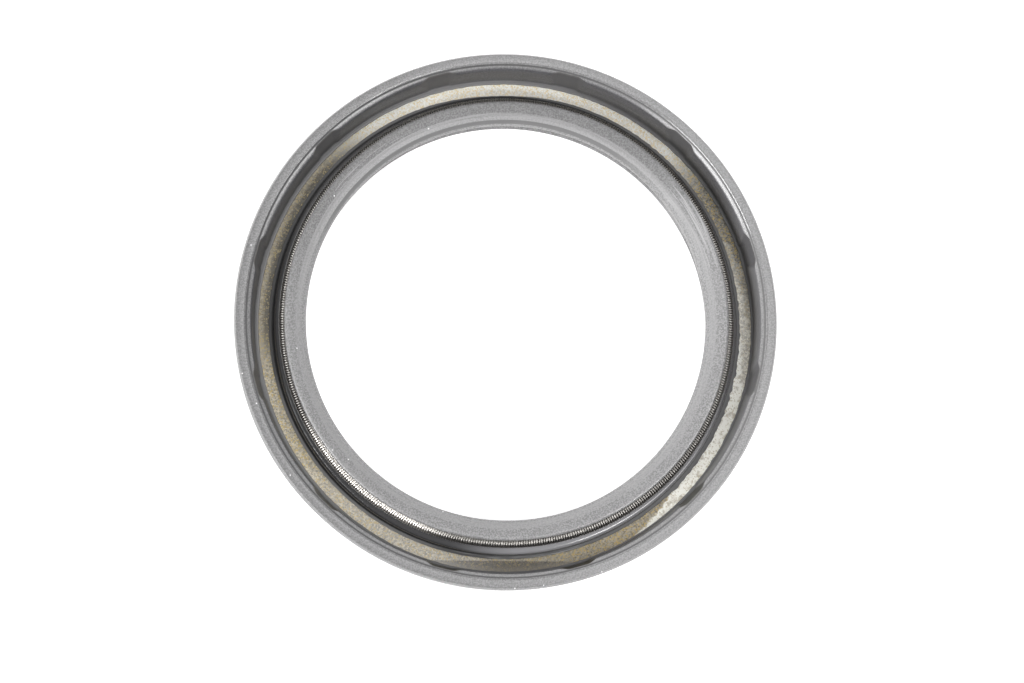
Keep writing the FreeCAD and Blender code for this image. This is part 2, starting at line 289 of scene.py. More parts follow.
floor_step = np.linspace(0.0, 1.8, 4)
side_step = np.linspace(2.1, 5.1, 16)
pad_step = np.linspace(5.6, 15.0, 14)
half = np.radians(np.concatenate([floor_step, side_step, pad_step]))
one_period = np.concatenate([-half[:0:-1], half[:-1]])
centres = FIRST_GROOVE + PERIOD * np.arange(GROOVES)
theta = (centres[:, None] + one_period[None, :]).ravel()
from_groove = np.abs((theta - FIRST_GROOVE + PERIOD / 2) % PERIOD - PERIOD / 2)


def soft_max(a, b, blend):
    """The larger of a and b, rounded where they meet: half of a + b + the root of (a - b)^2 + blend^2."""
    return 0.5 * (a + b + np.sqrt((a - b) ** 2 + blend**2))


def groove_radius(z):
    """Radius of the groove's surface at heights z, for every column: the nearer of its floor and its side.

    Both planes move inwards by the draft for each millimetre below the step. The floor is at distance d
    from the axis, so its radius is d / cos(angle); the side's is its distance / (sin + splay x cos).
    """
    sunk = np.maximum(STEP_FOOT - z, 0.0)[:, None] * DRAFT
    floor_x = np.sqrt(FLOOR_RADIUS**2 - FLOOR_HALF**2)
    floor_radius = (floor_x - sunk) / np.cos(from_groove)
    side = FLOOR_HALF + floor_x * SPLAY - sunk * np.hypot(1.0, SPLAY)
    side_radius = side / (np.sin(from_groove) + SPLAY * np.cos(from_groove))
    return -soft_max(-floor_radius, -side_radius, 0.1)


groove_depth = groove_radius(np.array([STEP_FOOT])).max() - WALL
print(len(theta), "columns; a groove is", groove_depth.round(2), "mm deep at the step")

# %% [markdown]
# A mould never closes perfectly on metal, so the two thin laps of rubber beside the bare band end in a
# slightly wandering edge. The wander is a sum of waves round the ring with seeded phases, because whole
# numbers of waves always close on themselves. It is roughest on one side, where flash crept over the
# metal, and a few single bumps and bites are put where the real seal shows them. The outer lap has only
# so much room beside the wall's foot, and its edge is cut off there. Directions are given as in the
# picture, clockwise from the right, because that is how they are looked up.

# %% Wandering edges of the laps
PICTURE_TURN = 0.9


def from_picture(degrees):
    """Angle about the seal's axis, in degrees, of a direction that is read clockwise in the picture."""
    return -degrees - PICTURE_TURN


def ring_waves(seed, low, high, count):
    """Sum of cosines with whole wave numbers between low and high and random phases, seldom over 1."""
    draw = np.random.default_rng(seed)
    waves = draw.integers(low, high, count)
    phase = draw.uniform(0, 2 * np.pi, count)
    return np.cos(theta[:, None] * waves + phase).sum(axis=1) / np.sqrt(count) / 1.6


def bell(direction, width):
    """Bell round a direction in the picture: e to the minus square of (the angle from it / width)."""
    away = (np.degrees(theta) - from_picture(direction) + 180) % 360 - 180
    return np.exp(-((away / width) ** 2))


LAP_ROOM = 0.22
worn_side = bell(12, 45)
outer_edge = 0.04 * (1 + worn_side) * ring_waves(3, 30, 190, 24)
outer_edge += 0.24 * bell(93, 42) + 0.17 * bell(15, 35) + 0.1 * bell(52, 16) - 0.12 * bell(225, 70)
outer_edge = np.minimum(outer_edge, LAP_ROOM)
inner_edge = 0.03 * (1 + 3.5 * worn_side) * ring_waves(4, 30, 190, 24)
inner_edge += 0.2 * bell(44, 1.4) - 0.3 * bell(268, 14) + 0.15 * bell(28, 22)
print("outer lap wanders", np.ptp(outer_edge).round(2), "mm, inner lap", np.ptp(inner_edge).round(2), "mm")

# %% [markdown]
# Nothing this soft is quite centred. The lip was trimmed a sixth of a millimetre to one side, the spring
# pulls its seat and the head's edge another way, and the arm's shoulder stands off a little more. Each of
# these rings of the grid is moved as a whole, by a vector.

# %% Build the rubber moulding
def off_centre(amount, direction):
    """Vector of a shift by an amount in millimetres in a direction of the picture."""
    turned = np.radians(from_picture(direction))
    return amount * np.array([np.cos(turned), np.sin(turned)])


LIP_SHIFT = off_centre(0.16, 82)
HEAD_SHIFT = off_centre(0.1, 0)
SPRING_SHIFT = off_centre(0.18, 22)
ARM_SHIFT = off_centre(0.4, 80)


def rows(*corner_names, side=False):
    """Rows of the grid that belong to the named corners, and with side also those of the sides after them."""
    wanted = [names.index(name) for name in corner_names]
    if side:
        wanted = wanted + [index + 0.5 for index in wanted]
    return np.flatnonzero(np.isin(number, wanted))


r_grid = np.repeat(radius[:, None], len(theta), axis=1)
z_grid = np.repeat(height[:, None], len(theta), axis=1)

grooved = rows("step_foot", "ledge", side=True)
r_grid[grooved] = soft_max(r_grid[grooved], groove_radius(height[grooved]), 0.03)
foot = rows("wall_foot")
r_grid[foot] += np.maximum(groove_radius(height[foot]) - WALL, 0.0)

lap_outer = rows("lap_out_top", "lap_out_foot")
lap_inner = rows("lap_in_top", "lap_in_foot")
r_grid[lap_outer] += outer_edge
r_grid[lap_inner] += inner_edge

shift = LIP_SHIFT * np.clip((LIP + 2.4 - radius) / 1.6, 0, 1)[:, None]
shift[rows("head")] = HEAD_SHIFT
shift[rows("neck", "nose")] = SPRING_SHIFT
shift[number == SEAT_ROWS] = SPRING_SHIFT
shift[rows("shoulder")] = ARM_SHIFT
x_grid = r_grid * np.cos(theta) + shift[:, :1]
y_grid = r_grid * np.sin(theta) + shift[:, 1:]
rubber = grid_mesh("rubber_moulding", x_grid, y_grid, z_grid)
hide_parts("rubber_body")
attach(rubber, "root")

# %% [markdown]
# ## The garter spring
#
# The spring is one wire wound into a close coil, and the coil is bent into a ring whose ends screw into
# each other. A curve with a bevel could draw it, but its cross-section would twist, so the tube is a
# surface of two parameters: the way along the wire and the way round it. The wire's centre turns round
# the coil's centre while that moves round the ring. Its last turns shrink to a nib that sits inside the
# first turns, which is how such a spring is joined. Beside the joint the ring bulges a little to one side
# and falls in to the other, by a slack that dies away within some turns.

# %% Build the coil
WIRE = 0.33
PITCH = 0.364
JOINT = np.radians(from_picture(123.9))
TURN_STEPS = 14
SIDES = 6
NIB_TURNS = 6
NIB_SHRINK = 0.36
SLACK = 0.035
SLACK_TURNS = 14

turns = int(round(2 * np.pi * SPRING_RADIUS / PITCH))
along = np.arange((turns + NIB_TURNS) * TURN_STEPS + 1) / TURN_STEPS
coil_angle = 2 * np.pi * along
ring_angle = JOINT + 2 * np.pi * along / turns
into_nib = np.clip((along - turns + 1.0) / 2.0, 0, 1)
coil_radius = (COIL - WIRE) / 2 - NIB_SHRINK * into_nib**2 * (3 - 2 * into_nib)
slack = np.exp(-along / SLACK_TURNS) - np.exp(-(turns - np.minimum(along, turns)) / SLACK_TURNS)
ring_radius = SPRING_RADIUS - SLACK * slack
advance = ring_radius / turns
length = np.hypot(coil_radius, advance)
outward = np.stack([np.cos(ring_angle), np.sin(ring_angle), 0 * ring_angle])
forward = np.stack([-np.sin(ring_angle), np.cos(ring_angle), 0 * ring_angle])
upward = np.array([0.0, 0.0, 1.0])[:, None]
from_coil = np.cos(coil_angle) * outward + np.sin(coil_angle) * upward
around = -np.sin(coil_angle) * outward + np.cos(coil_angle) * upward
tangent = (around * coil_radius + forward * advance) / length
beside = np.cross(tangent, from_coil, axis=0)
centre_line = ring_radius * outward + SPRING_HEIGHT * upward + coil_radius * from_coil
centre_line[:2] += SPRING_SHIFT[:, None]
side_angle = 2 * np.pi * np.arange(SIDES) / SIDES
tube = centre_line[:, :, None] + WIRE / 2 * (
    np.cos(side_angle) * from_coil[:, :, None] + np.sin(side_angle) * beside[:, :, None]
)
spring = grid_mesh("spring_coil", tube[0], tube[1], tube[2], closed_rows=False)
print(turns, "turns of wire,", round(float(length.sum() * 2 * np.pi / TURN_STEPS)), "mm long")
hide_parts("garter_spring")
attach(spring, "root")

# %% [markdown]
# ## Materials
#
# Every material is worked out from the place on the object, so it needs no picture. A ring is easiest to
# paint in its own terms: the distance from the axis, the height and the angle, which a few math nodes
# make from the object's coordinates. A mask is a number from 0 to 1, and a finish is a ground colour with
# further colours laid over it through masks. The node editor could do the same by hand, but short calls
# keep a finish on a few lines.

# %% Short calls for nodes
class Nodes:
    """Node tree with short calls for the nodes that this lesson uses."""

    def __init__(self, node_tree):
        self.nodes = node_tree.nodes
        self.links = node_tree.links

    def put(self, socket, value):
        """Links a socket to another one, or sets its value."""
        if isinstance(value, bpy.types.NodeSocket):
            self.links.new(value, socket)
        else:
            socket.default_value = value

    def node(self, kind, operation=None, *inputs, **named):
        """New node; its first sockets take the inputs, a named socket takes its own."""
        made = self.nodes.new(kind)
        if operation:
            made.operation = operation
        for socket, value in zip(made.inputs, inputs):
            self.put(socket, value)
        for name, value in named.items():
            self.put(made.inputs[name], value)
        return made

    def math(self, operation, *inputs):
        """Result of one math node."""
        return self.node("ShaderNodeMath", operation, *inputs).outputs[0]

    def both(self, *masks):
        """Product of masks."""
        result = masks[0]
        for mask in masks[1:]:
            result = self.math("MULTIPLY", result, mask)
        return result

    def ramp(self, value, low, high, to_low=0.0, to_high=1.0, kind="SMOOTHSTEP"):
        """to_low where value is under low, to_high where it is over high, and a step of some kind between."""
        span = {"From Min": low, "From Max": high, "To Min": to_low, "To Max": to_high}
        made = self.node("ShaderNodeMapRange", Value=value, **span)
        made.interpolation_type = kind
        return made.outputs["Result"]

    def below(self, value, low, high):
        """1 where value is under low, 0 where it is over high."""
        return self.ramp(value, low, high, 1.0, 0.0)

    def mix(self, share, a, b):
        """Colour a where share is 0, b where it is 1."""
        made = self.nodes.new("ShaderNodeMix")
        made.data_type = "RGBA"
        for socket, value in ((made.inputs[0], share), (made.inputs[6], a), (made.inputs[7], b)):
            self.put(socket, value)
        return made.outputs[2]

    def layered(self, colour, layers):
        """Ground colour with further colours laid over it in turn, each through its own mask."""
        for mask, paint in layers:
            colour = self.mix(mask, colour, paint)
        return colour


# %% Terms of a ring
RELIEF = 0.02


class Tree(Nodes):
    """Node tree of one new material, with masks in millimetres and in degrees of the picture."""

    def __init__(self, name):
        self.material = bpy.data.materials.new(name)
        self.material.use_nodes = True
        super().__init__(self.material.node_tree)
        self.shader = self.nodes["Principled BSDF"]
        self.place = self.node("ShaderNodeTexCoord").outputs["Object"]
        split = self.node("ShaderNodeSeparateXYZ", Vector=self.place)
        self.x, self.y, self.z = (self.math("MULTIPLY", output, 1 / MM) for output in split.outputs)
        self.flat = self.node("ShaderNodeCombineXYZ", X=self.x, Y=self.y).outputs[0]
        self.radius = self.node("ShaderNodeVectorMath", "LENGTH", self.flat).outputs["Value"]
        angle = self.math("ARCTAN2", self.y, self.x)
        self.direction = self.math("MULTIPLY_ADD", angle, -180 / np.pi, -PICTURE_TURN)

    def ring(self, middle, half_width, soft=0.1, of=None):
        """1 where a distance, or else the radius, is within half_width of middle, 0 beyond soft more."""
        away = self.math("ABSOLUTE", self.math("SUBTRACT", of or self.radius, middle))
        return self.below(away, half_width, half_width + soft)

    def sector(self, middle, half_width, soft, direction=None):
        """1 within half_width degrees of a direction in the picture, 0 beyond soft more."""
        away = self.math("WRAP", self.math("SUBTRACT", direction or self.direction, middle), 180.0, -180.0)
        return self.below(self.math("ABSOLUTE", away), half_width, half_width + soft)

    def spot(self, direction, distance):
        """1 at a speck, given by its direction in the picture and its distance from the axis."""
        turned = np.radians(from_picture(direction))
        centre = (distance * np.cos(turned), distance * np.sin(turned), 0.0)
        away = self.node("ShaderNodeVectorMath", "DISTANCE", self.flat, centre).outputs["Value"]
        return self.below(away, 0.05, 0.14)

    def noise(self, per_mm, detail=3.0, roughness=0.5, vector=None):
        """Noise with so many features to the millimetre; a vector that is handed in is in millimetres."""
        scale = per_mm if vector else per_mm / MM
        settings = {"Scale": scale, "Detail": detail, "Roughness": roughness}
        return self.node("ShaderNodeTexNoise", Vector=vector or self.place, **settings).outputs["Fac"]

    def streaks(self, per_mm, around):
        """Noise drawn out along the ring: fine across it, and with few changes around it."""
        reach = around / OUTER / per_mm
        turned_x = self.math("MULTIPLY", self.x, reach)
        turned_y = self.math("MULTIPLY", self.y, reach)
        across = self.math("ADD", self.radius, self.z)
        stretched = self.node("ShaderNodeCombineXYZ", X=turned_x, Y=turned_y, Z=across)
        return self.noise(per_mm, 2.0, 0.6, stretched.outputs[0])

    def cells(self, per_mm):
        """Random value from 0 to 1 for each of many small cells."""
        made = self.node("ShaderNodeTexVoronoi", Vector=self.place, Scale=per_mm / MM)
        return self.node("ShaderNodeSeparateColor", Color=made.outputs["Color"]).outputs["Red"]

    def finish(self, piece, colour, roughness, ior, relief, strength):
        """Sets colour, roughness, IOR and a relief RELIEF mm high, and gives the material to a piece."""
        self.put(self.shader.inputs["Base Color"], colour)
        self.put(self.shader.inputs["Roughness"], roughness)
        self.shader.inputs["IOR"].default_value = ior
        bump = self.node("ShaderNodeBump", Strength=strength, Distance=RELIEF * MM, Height=relief)
        self.put(self.shader.inputs["Normal"], bump.outputs[0])
        piece.data.materials.clear()
        piece.data.materials.append(self.material)
        print(self.material.name, "has", len(self.nodes), "nodes")


def grey(level, cool=1.01):
    """Colour of one grey level, with a trace more red and blue than green, as carbon-filled rubber has."""
    return (level * 1.01, level, level * cool, 1.0)


print("grey of the rim", [round(share, 3) for share in grey(0.31)])

# %% [markdown]
# Rubber looks dull grey where the mould's blasted steel left a fine grain, and dark where a polished core
# shaped it. So masks of radius and height blend two finishes: the pale satin of the rim and the lip's
# head, and the dark gloss of the wall and the arm. The dark finish of the trough is partly painted shade
# of that recess, and round 272 degrees it reaches further up the ledge as painted shade. The masks and
# noises that both finishes and the gloss need come first. The trough is all that lies between the head
# and the ledge, over the web.

# %% Masks of the rubber
HEAD_EDGE = LIP + 3.2


class RubberTree(Tree):
    """Tree with the noises and the masks that the rubber's finishes share."""

    def __init__(self, name):
        super().__init__(name)
        self.grain = self.noise(4.4, 2.0, 0.6)
        self.rings = self.streaks(5.0, 4.0)
        self.near_top = self.ramp(self.z, RIM - 1.8, RIM - 1.5)
        self.inside = self.below(self.radius, WALL + 0.55, WALL + 0.65)
        self.on_wall = self.ramp(self.radius, WALL - 0.4, WALL - 0.3)
        self.worn = self.both(self.sector(18, 32, 20), self.on_wall)
        # Painted shade: round 272 degrees the dark trough reaches 0.2 mm further up the ledge.
        lowered = self.math("MULTIPLY_ADD", self.sector(272, 25, 15), -0.2, self.z)
        below_ledge = self.below(lowered, RIM - 0.95, RIM - 0.65)
        behind_head = self.ramp(self.radius, HEAD_EDGE, HEAD_EDGE + 0.1)
        over_web = self.ramp(self.z, WEB_TOP - 0.1, WEB_TOP - 0.05)
        self.trough = self.both(below_ledge, behind_head, self.inside, over_web)
        self.laps = self.both(self.trough, self.below(self.z, LAP + 0.02, LAP + 0.12))
        self.arm = self.both(self.trough, self.below(self.radius, ARM_FOOT + 0.05, ARM_FOOT + 0.15))


rubber_tree = RubberTree("moulded_rubber")
print(rubber_tree.material.name, "starts with", len(rubber_tree.nodes), "nodes")

# %% [markdown]
# The pale finish has fine rings on the head, left from trimming the lip on a lathe. It is painted darker
# on one half of the rim and on the far part of the head, which is painted shade. In two places the head
# was scraped, and its scratches are painted bright as painted highlights, and the lip's front face is
# painted darker on the far side as painted shade.

# %% Pale finish of the rim and the head
def pale_finish(tree):
    """Colour of the rim, the head and all of the outside."""
    grained = tree.ramp(tree.grain, 0.36, 0.64)
    clouded = tree.ramp(tree.noise(0.16, 4.0, 0.6), 0.3, 0.75, 0.0, 0.3)
    outer = tree.ramp(tree.radius, WALL, WALL + 0.6, 0.0, 0.3)
    # Painted shade: the far part of the head and one half of the rim's inner side are painted darker.
    head_painted_shade = tree.both(tree.sector(262, 42, 50), tree.ring(LIP + 2.0, 0.9, 0.2))
    rim_painted_shade = tree.both(tree.sector(163, 75, 25), tree.ramp(tree.radius, WALL + 0.5, WALL + 1.0, 0.0, 0.455))
    # Real scratches, painted bright along their rings as painted highlights of the lamps.
    scraped_and_glint = tree.both(tree.sector(334, 9, 6), tree.ring(LIP + 1.5, 1.6))
    grazed_and_glint = tree.both(tree.sector(230, 11, 4), tree.ring(LIP + 1.5, 0.7))
    over_edge = tree.ramp(tree.z, EDGE_TOP + 0.05, EDGE_TOP + 0.1)
    # Painted shade: the lip's front face is painted darker on the far side.
    front = tree.both(tree.sector(258, 42, 20), tree.ring(LIP + 0.27, 0.2, 0.06), over_edge)
    turned = tree.both(tree.ring(LIP + 1.0, 0.42, 0.12), tree.ramp(tree.z, EDGE_FOOT, EDGE_TOP))
    layers = (
        (clouded, grey(0.24)),
        (outer, grey(0.16)),
        (tree.math("MAXIMUM", head_painted_shade, rim_painted_shade), tree.mix(grained, grey(0.1), grey(0.19))),
        (tree.both(scraped_and_glint, tree.ramp(tree.rings, 0.5, 0.62, 0.0, 0.9)), grey(0.38)),
        (tree.both(grazed_and_glint, tree.ramp(tree.rings, 0.58, 0.64, 0.0, 0.7)), grey(0.38)),
        (front, grey(0.14)),
        (tree.both(turned, tree.ramp(tree.rings, 0.3, 0.7, 0.3, 0.8)), grey(0.3)),
    )
    return tree.layered(tree.mix(grained, grey(0.16), grey(0.31)), layers)


pale = pale_finish(rubber_tree)
print("with the pale finish", len(rubber_tree.nodes), "nodes")

# %% [markdown]
# The dark finish is worn paler on one side of the wall. The rest of its marks are painted light and
# shade: the arm is painted lighter on one side and darker on the other, a thin line along a stretch of
# the arm's shoulder is a painted highlight, the seat under the spring, the wall's foot and the lap beside
# the arm's foot are painted lighter where shade falls, thin lines of torn flash there are painted bright
# as painted highlights, and the corner at the arm's foot is painted dark as painted shade. The grooves are
# darkest, as painted shade. A groove is told from the pads by its radius, which is larger than the
# ledge's at the same height.

# %% Dark finish of the wall, the arm and the laps
def dark_finish(tree):
    """Colour of the trough, without the grooves."""
    rubbed = tree.math("MULTIPLY_ADD", tree.grain, 0.6, tree.math("MULTIPLY", tree.rings, 0.4))
    ground = tree.mix(tree.ramp(rubbed, 0.38, 0.62), grey(0.06, 1.06), grey(0.125, 1.06))
    # Painted light and shade: the arm is painted darker round 150 degrees and lighter round 60.
    arm_painted_light_and_shade = ((tree.sector(150, 42, 20), grey(0.055, 1.04)), (tree.sector(60, 26, 18), grey(0.22, 1.04)))
    # Real torn flash, painted bright as painted highlights along the lap's edge.
    torn_flash_glint = tree.both(tree.ring(ARM_FOOT + 0.33, 0.35), tree.ramp(tree.rings, 0.5, 0.6))
    # Painted shade: the corner at the arm's foot is painted near black.
    corner = tree.both(tree.ring(ARM_FOOT + 0.08, 0.1, 0.12), tree.below(tree.z, LAP + 0.3, LAP + 1.0))
    # Painted highlight: a thin pale line along the arm's shoulder, round 54 degrees.
    shoulder_glint = tree.both(tree.ring(ARM_FOOT - 0.4, 0.04, 0.05), tree.ramp(tree.z, RIM - 4.8, RIM - 4.4))
    layers = (
        (tree.worn, grey(0.16, 1.04)),
        (tree.arm, tree.layered(grey(0.1, 1.04), arm_painted_light_and_shade)),
        # Painted light: the shaded seat under the spring is painted lighter.
        (tree.both(tree.ring(SPRING_RADIUS, 0.75), tree.ring(SPRING_HEIGHT, 1.0, of=tree.z)), grey(0.3)),
        # Painted light: the shaded foot of the wall is painted lighter.
        (tree.both(tree.below(tree.z, LAP + 0.1, LAP + 0.5), tree.on_wall), grey(0.17)),
        (tree.laps, grey(0.14)),
        # Painted light: the lap beside the arm's foot, round 135 degrees, is painted lighter where the arm
        # shades it.
        (tree.both(tree.laps, tree.sector(135, 22, 12), tree.ring(ARM_FOOT + 0.35, 0.4)), grey(0.27)),
        (tree.both(tree.laps, tree.sector(87, 12, 6), torn_flash_glint), grey(0.45)),
        (corner, grey(0.03)),
        (tree.both(tree.sector(54, 12, 12), shoulder_glint), grey(0.55)),
    )
    return tree.layered(ground, layers)


def groove_finish(tree):
    """Mask and colour of the grooves; the colour is painted shade.

    At height z the ledge's radius is WALL + slope x (z - LEDGE_FOOT), and no less than WALL.
    """
    slope = STEP_WIDTH / (STEP_FOOT - LEDGE_FOOT)
    ledge = tree.math("MAXIMUM", tree.math("MULTIPLY_ADD", tree.z, slope, WALL - slope * LEDGE_FOOT), WALL)
    beyond = tree.ramp(tree.math("SUBTRACT", tree.radius, ledge), 0.06, 0.18)
    over_foot = tree.ramp(tree.z, LAP + 0.3, LAP + 0.6)
    under_step = tree.below(tree.z, STEP_FOOT - 0.03, STEP_FOOT)
    # Painted shade: the grooves are painted dark, darkest round 82 degrees.
    layers = ((tree.worn, grey(0.12, 1.06)), (tree.sector(82, 46, 14), grey(0.02)))
    return tree.both(tree.inside, beyond, over_foot, under_step), tree.layered(grey(0.085, 1.06), layers)


dark = dark_finish(rubber_tree)
groove, groove_shade = groove_finish(rubber_tree)
print("with the dark finish", len(rubber_tree.nodes), "nodes")

# %% [markdown]
# The gloss follows the shapes too: the head's face and the wall are matte, the arm is the glossiest, and
# the two moulded edges that frame the view are smooth enough to draw a thin line of light. A few specks
# of white dust lie on top.

# %% Rubber
SPECKS = [(70, 39.7), (82.5, 39.6), (88.5, 39.7), (143, 39.2), (160, 38.7), (167, 39.5), (195, 39.0),
          (108, 30.1), (137.5, 31.3), (142, 32.2), (171, 31.2), (215, 31.4), (247.5, 30.9)]


def rubber_gloss(tree, head_edge, rim_edge):
    """Roughness: a middle value, and in each mask another one, by value + mask x (new - value)."""
    finishes = (
        (tree.ring(LIP + 1.5, 1.2, 0.3), 0.5),
        (tree.both(head_edge, tree.near_top), 0.1),
        (tree.both(rim_edge, tree.near_top), 0.1),
        (tree.arm, 0.17),
        (tree.both(tree.trough, tree.on_wall, tree.below(tree.z, RIM - 1.2, RIM - 0.9)), 0.5),
    )
    roughness = 0.28
    for mask, value in finishes:
        roughness = tree.math("MULTIPLY_ADD", mask, tree.math("SUBTRACT", value, roughness), roughness)
    return roughness


def make_rubber(tree):
    """Puts the finishes together, with painted shade in the crease under the rim, and the dust."""
    head_edge = tree.ring(HEAD_EDGE, 0.2)
    rim_edge = tree.ring(RIM_INNER, 0.2)
    # Painted shade: the crease under the rim is painted dark.
    crease_shade = tree.both(tree.ring(WALL + 0.67, 0.09, 0.05), tree.near_top)
    layers = [(tree.trough, dark), (groove, groove_shade), (tree.math("MULTIPLY", crease_shade, 0.85), grey(0.08))]
    layers += [(tree.spot(*speck), grey(0.8)) for speck in SPECKS]
    smoothed = tree.math("MULTIPLY_ADD", tree.math("MAXIMUM", rim_edge, head_edge), -0.8, 1.0)
    relief = tree.math("MULTIPLY", tree.grain, smoothed)
    roughness = rubber_gloss(tree, head_edge, rim_edge)
    tree.finish(rubber, tree.layered(pale, layers), roughness, 1.7, relief, 0.25)


make_rubber(rubber_tree)
print(len(SPECKS), "specks of dust")

# %% [markdown]
# The steel case is dipped in a bonding agent before the rubber is moulded on. What shows of it is the
# bare band of its web: gold-brown and speckled, rubbed to a bright cream where the mould pressed hardest,
# straw-coloured opposite, beige and olive in between. How light or dark each stretch is round the band is
# largely painted: the greyer gold on one side and the olive are painted shade, the straw, the beige and
# part of the cream's brightness are painted light, and one dark crescent is a painted reflection. Small
# cells of random colour make the speckle. Where the band is pale, a clear skin is left on it, which is
# the shader's own coat.

# %% Colours of the bonding coat
class BandTree(Tree):
    """Tree with the noises of the band; outward is the distance from the inner lap, in millimetres."""

    def __init__(self, name):
        super().__init__(name)
        self.fine = self.cells(4.6)
        self.speckle = self.cells(5.6)
        self.patch = self.noise(0.9, 3.0, 0.6)
        self.outward = self.math("SUBTRACT", self.radius, LAP_INNER)
        leaning = self.math("MULTIPLY_ADD", self.outward, -7.0, self.direction)
        self.ragged = self.math("MULTIPLY_ADD", self.patch, 14.0, leaning)

    def flecks(self, low, high, share):
        """Mask of the cells whose random value is over high, as far as share."""
        return self.ramp(self.speckle, low, high, 0.0, share)

    def speckled(self, dark_colour, light_colour):
        """Colour that differs from cell to cell, between a dark and a light one."""
        return self.mix(self.fine, (*dark_colour, 1.0), (*light_colour, 1.0))


def gold_and_beige(tree):
    """Coat that the mould hardly touched: gold-brown, greyer and darker round 326 degrees as painted shade,
    and beige round 130, paler there as painted light.
    """
    gold = tree.layered(tree.speckled((0.19, 0.16, 0.105), (0.5, 0.445, 0.345)), (
        # Painted shade: round 326 degrees the gold is greyer and darker.
        (tree.sector(326, 22, 14), tree.speckled((0.12, 0.11, 0.09), (0.4, 0.375, 0.32))),
        (tree.flecks(0.7, 0.8, 0.7), (0.6, 0.43, 0.13, 1)),
    ))
    # Partly painted light: the beige round 130 degrees is paler than the gold.
    beige = tree.layered(tree.speckled((0.33, 0.29, 0.22), (0.78, 0.71, 0.56)), (
        (tree.flecks(0.78, 0.85, 0.8), (0.66, 0.5, 0.16, 1)),
    ))
    return tree.mix(tree.sector(130, 38, 20), gold, beige)


def olive_coat(tree):
    """Olive coat, darker beside the inner lap as painted shade."""
    ground = tree.mix(tree.ramp(tree.outward, 0.4, 1.3), (0.17, 0.155, 0.12, 1), (0.56, 0.5, 0.38, 1))
    return tree.layered(ground, (
        (tree.math("MULTIPLY", tree.fine, 0.55), (0.1, 0.08, 0.055, 1)),
        (tree.flecks(0.8, 0.87, 0.6), (0.6, 0.48, 0.22, 1)),
    ))


def cream_coat(tree):
    """Rubbed coat, blotched with what was left of it, and mottled round -4 degrees; its brightness is partly
    painted light.
    """
    mottle = tree.math("MULTIPLY_ADD", tree.patch, 1.2, tree.math("SUBTRACT", tree.fine, 0.6))
    return tree.layered((0.5, 0.45, 0.34, 1), (
        (tree.ramp(tree.patch, 0.32, 0.5), (1.0, 0.985, 0.88, 1)),
        (tree.math("MULTIPLY", tree.sector(-4, 13, 5, tree.ragged), 0.85),
         tree.mix(mottle, (0.36, 0.32, 0.25, 1), (0.9, 0.85, 0.7, 1))),
        (tree.flecks(0.7, 0.95, 0.7), (0.5, 0.42, 0.26, 1)),
    ))


def straw_coat(tree):
    """Bright coat with yellow flecks; its brightness is a painted reflection of the light overhead."""
    return tree.layered(tree.speckled((0.8, 0.76, 0.64), (1.0, 0.995, 0.95)), (
        (tree.flecks(0.74, 0.82, 0.7), (0.78, 0.6, 0.24, 1)),
    ))


def brown_coat(tree):
    """Dark coat of the crescent, which is a painted reflection, a little paler towards the outer lap."""
    return tree.layered(tree.speckled((0.07, 0.06, 0.045), (0.2, 0.17, 0.13)), (
        (tree.flecks(0.8, 0.87, 0.6), (0.45, 0.35, 0.14, 1)),
        (tree.ramp(tree.outward, 0.9, 1.8, 0.0, 0.5), (0.4, 0.36, 0.3, 1)),
    ))


band = BandTree("bonding_coat")
print(band.material.name, "starts with", len(band.nodes), "nodes")

# %% [markdown]
# The coats lie side by side round the band. The cream one ends in a ragged slanting line, which comes
# from adding noise and the distance outwards to the direction. The crescent is a painted reflection: what
# a straight line cuts off the band, so its mask is the distance from the axis along one direction.

# %% Bonding coat of the case
def make_coating(tree, case):
    """Lays the coats round the band, and the clear skin over the pale ones."""
    # Painted reflection: the bright straw coat round 274 degrees stands in for the light overhead.
    straw_reflection_share = tree.both(tree.sector(274, 36, 18), tree.ramp(tree.outward, 0.2, 1.2, 0.65, 1.0))
    # Real wear with a ragged edge, and partly painted light: the cream's brightness round 18 degrees.
    cream_wear_and_light_share = tree.both(tree.sector(18, 33, 3, tree.ragged), tree.ramp(tree.ragged, -12.0, 2.0, 0.3, 1.0))
    facing = np.radians(from_picture(90.5))
    sideways = tree.math("MULTIPLY", tree.y, np.sin(facing))
    depth = tree.math("MULTIPLY_ADD", tree.x, np.cos(facing), sideways)
    colour = tree.layered(gold_and_beige(tree), (
        # Painted shade: the olive coat round 207 degrees is darker.
        (tree.sector(207, 26, 16), olive_coat(tree)),
        (straw_reflection_share, straw_coat(tree)),
        (cream_wear_and_light_share, cream_coat(tree)),
        # Painted reflection: the dark crescent is the dark side of a straight reflected edge.
        (tree.ramp(depth, 35.58, 35.72, 0.0, 0.95), brown_coat(tree)),
    ))
    skin = tree.math("MAXIMUM", tree.math("MAXIMUM", cream_wear_and_light_share, straw_reflection_share), tree.sector(118, 10, 20))
    tree.put(tree.shader.inputs["Coat Weight"], skin)
    tree.shader.inputs["Coat Roughness"].default_value = 0.3
    tree.shader.inputs["Coat IOR"].default_value = 1.8
    tree.finish(case, colour, tree.ramp(tree.fine, 0.3, 0.7, 0.35, 0.55), 1.6, tree.fine, 0.4)


make_coating(band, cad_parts["metal_case"])

# %% [markdown]
# Spring wire is plain metal, a dark warm grey that reflects whatever is near it. For some way on both
# sides of the joint, where its ends were screwed into each other, it is painted bright as a painted
# highlight.

